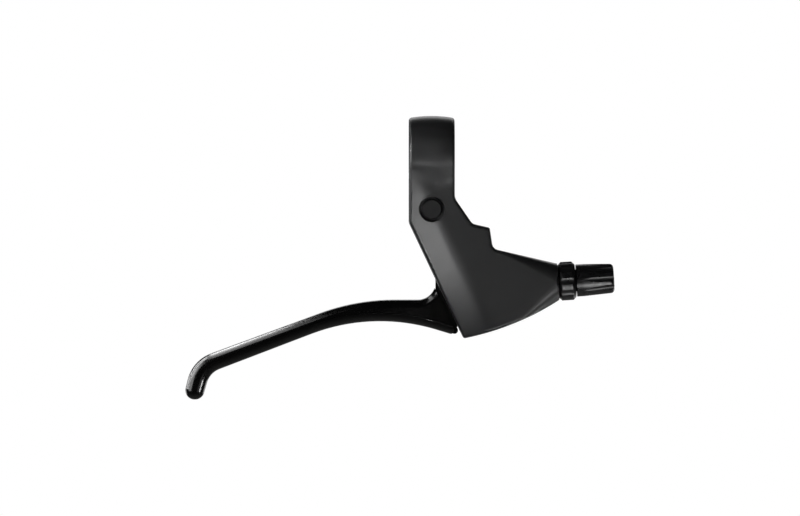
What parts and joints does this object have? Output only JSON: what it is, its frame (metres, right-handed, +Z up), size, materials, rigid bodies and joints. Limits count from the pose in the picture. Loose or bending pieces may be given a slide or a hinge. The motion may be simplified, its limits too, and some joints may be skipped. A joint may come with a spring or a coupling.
{
  "type": "bicycle brake lever",
  "caption": "Flat-bar bicycle brake lever: cast clamp bracket, pivoting blade with hooked tip, return spring, reach screw and fluted cable adjuster with lock ring.",
  "frame": {"origin": "on the handlebar's axis, at the middle of the clamp band", "axes": "+X along the handlebar towards the cable adjuster, +Z up from the lever to the bar, -Y towards the rider's view of the bracket's face"},
  "size_m": [0.1479, 0.0384, 0.0978],
  "materials": {
    "bracket_paint": "dark grey satin paint on cast alloy",
    "lever_paint": "black gloss paint on forged alloy",
    "grip_plastic": "black moulded, half gloss",
    "stem_metal": "black anodised",
    "dark_steel": "blackened steel",
    "spring_steel": "bright spring steel",
    "bush_plastic": "natural acetal"
  },
  "bodies": {
    "bracket": {"bracket": "bracket_paint", "clamp_bolt": "dark_steel", "pivot_axle": "dark_steel", "axle_clip": "spring_steel"},
    "lever": {"lever_blade": "lever_paint", "bush_front": "bush_plastic", "bush_back": "bush_plastic", "return_spring": "spring_steel"},
    "adjuster": {"adjuster_stem": "stem_metal", "adjuster_grip": "grip_plastic"},
    "lock_ring": {"lock_ring": "grip_plastic"},
    "reach_screw": {"reach_screw": "dark_steel"}
  },
  "joints": [
    {"name": "lever_pivot", "type": "hinge", "parent": "bracket", "child": "lever", "pos_m": [0, 0, -0.0178], "axis": [0, 1, 0], "range_deg": [0, 32], "stiffness_Nm_per_rad": 0.1, "springref_deg": -28.65, "deforming": ["return_spring"]},
    {"name": "adjuster_slide", "type": "slide", "parent": "bracket", "child": "adjuster", "axis": [0.9981, 0, 0.061], "range_m": [0, 0.006]},
    {"name": "lock_ring_turn", "type": "hinge", "parent": "bracket", "child": "lock_ring", "pos_m": [0.0436, 0, -0.0427], "axis": [0.9981, 0, 0.061], "continuous": true},
    {"name": "reach_screw_turn", "type": "hinge", "parent": "bracket", "child": "reach_screw", "pos_m": [0.0169, 0, -0.02341], "axis": [-0.225, 0, -0.9744], "range_deg": [-720, 720]}
  ]
}
